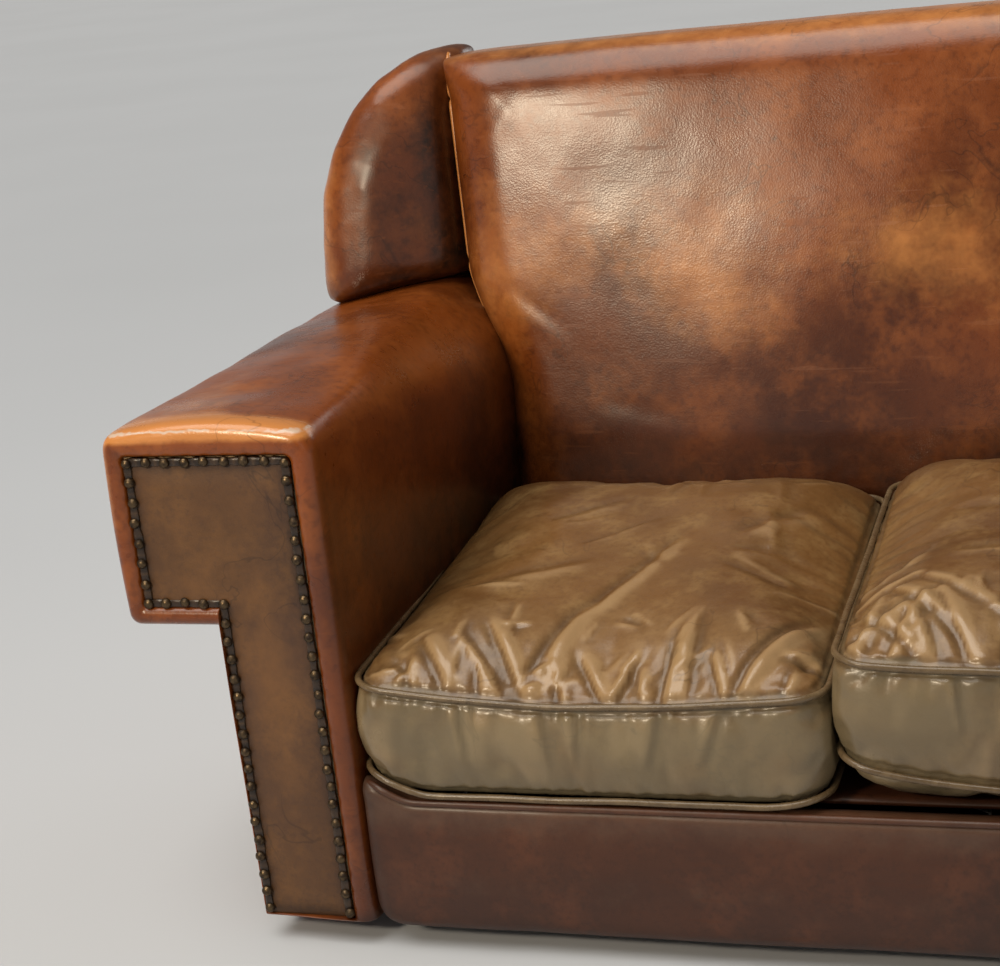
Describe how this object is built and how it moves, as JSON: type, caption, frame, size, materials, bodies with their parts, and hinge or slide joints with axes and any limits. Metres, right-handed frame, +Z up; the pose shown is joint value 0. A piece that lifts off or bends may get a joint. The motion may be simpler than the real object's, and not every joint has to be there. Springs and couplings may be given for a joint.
{
  "type": "worn leather sofa",
  "caption": "Long wing-back sofa in worn cognac leather, with squared overhanging arms edged in domed nails and faded loose seat cushions.",
  "frame": {"origin": "on the floor, at the middle of the sofa's width and depth", "axes": "+X along the sofa's length, +Z up, the front faces -Y"},
  "size_m": [2.11, 0.86, 0.938],
  "materials": {
    "cover_leather": "waxed cognac leather, mottled and rubbed, semi-gloss",
    "facing_leather": "olive-brown leather with vertical mottling, satin",
    "rail_leather": "dark red-brown leather, dusty on top, satin",
    "cushion_leather": "faded olive-tan leather, deeply creased, satin with glossy folds",
    "piping_leather": "worn tan piping",
    "nail_bronze": "dark bronzed domed heads",
    "frame_wood": "raw beech",
    "foot_wood": "dark stained",
    "spring_steel": "dull drawn wire",
    "stuffing": "felted fibre",
    "webbing": "woven jute",
    "dust_cloth": "black cotton"
  },
  "bodies": {
    "root": {"back_lower_rail": "frame_wood", "back_padding": "stuffing", "back_top_rail": "frame_wood", "dust_cover": "dust_cloth", "front_rail_cover": "rail_leather", "front_rail_padding": "stuffing", "inside_back_cover": "cover_leather", "left_arm_cover": "cover_leather", "left_arm_edge_roll": "cover_leather", "left_arm_facing": "facing_leather", "left_arm_front_board": "frame_wood", "left_arm_lower_rail": "frame_wood", "left_arm_nail_band": "facing_leather", "left_arm_padding": "stuffing", "left_arm_rear_board": "frame_wood", "left_arm_top_board": "frame_wood", "left_back_post": "frame_wood", "left_back_webbing": "webbing", "left_front_foot": "foot_wood", "left_rear_foot": "foot_wood", "left_seat_cushion": "cushion_leather", "left_wing_board": "frame_wood", "left_wing_cover": "cover_leather", "left_wing_padding": "stuffing", "middle_back_webbing": "webbing", "middle_seat_cushion": "cushion_leather", "outside_back_cover": "cover_leather", "right_arm_cover": "cover_leather", "right_arm_edge_roll": "cover_leather", "right_arm_facing": "facing_leather", "right_arm_front_board": "frame_wood", "right_arm_lower_rail": "frame_wood", "right_arm_nail_band": "facing_leather", "right_arm_padding": "stuffing", "right_arm_rear_board": "frame_wood", "right_arm_top_board": "frame_wood", "right_back_post": "frame_wood", "right_back_webbing": "webbing", "right_front_foot": "foot_wood", "right_rear_foot": "foot_wood", "right_seat_cushion": "cushion_leather", "right_wing_board": "frame_wood", "right_wing_cover": "cover_leather", "right_wing_padding": "stuffing", "seat_back_rail": "frame_wood", "seat_deck_cover": "rail_leather", "seat_deck_padding": "stuffing", "seat_front_rail": "frame_wood", "seat_spring_1": "spring_steel", "seat_spring_2": "spring_steel", "seat_spring_3": "spring_steel", "seat_spring_4": "spring_steel", "seat_spring_5": "spring_steel", "seat_spring_6": "spring_steel", "seat_stretcher": "frame_wood"}
  },
  "joints": []
}
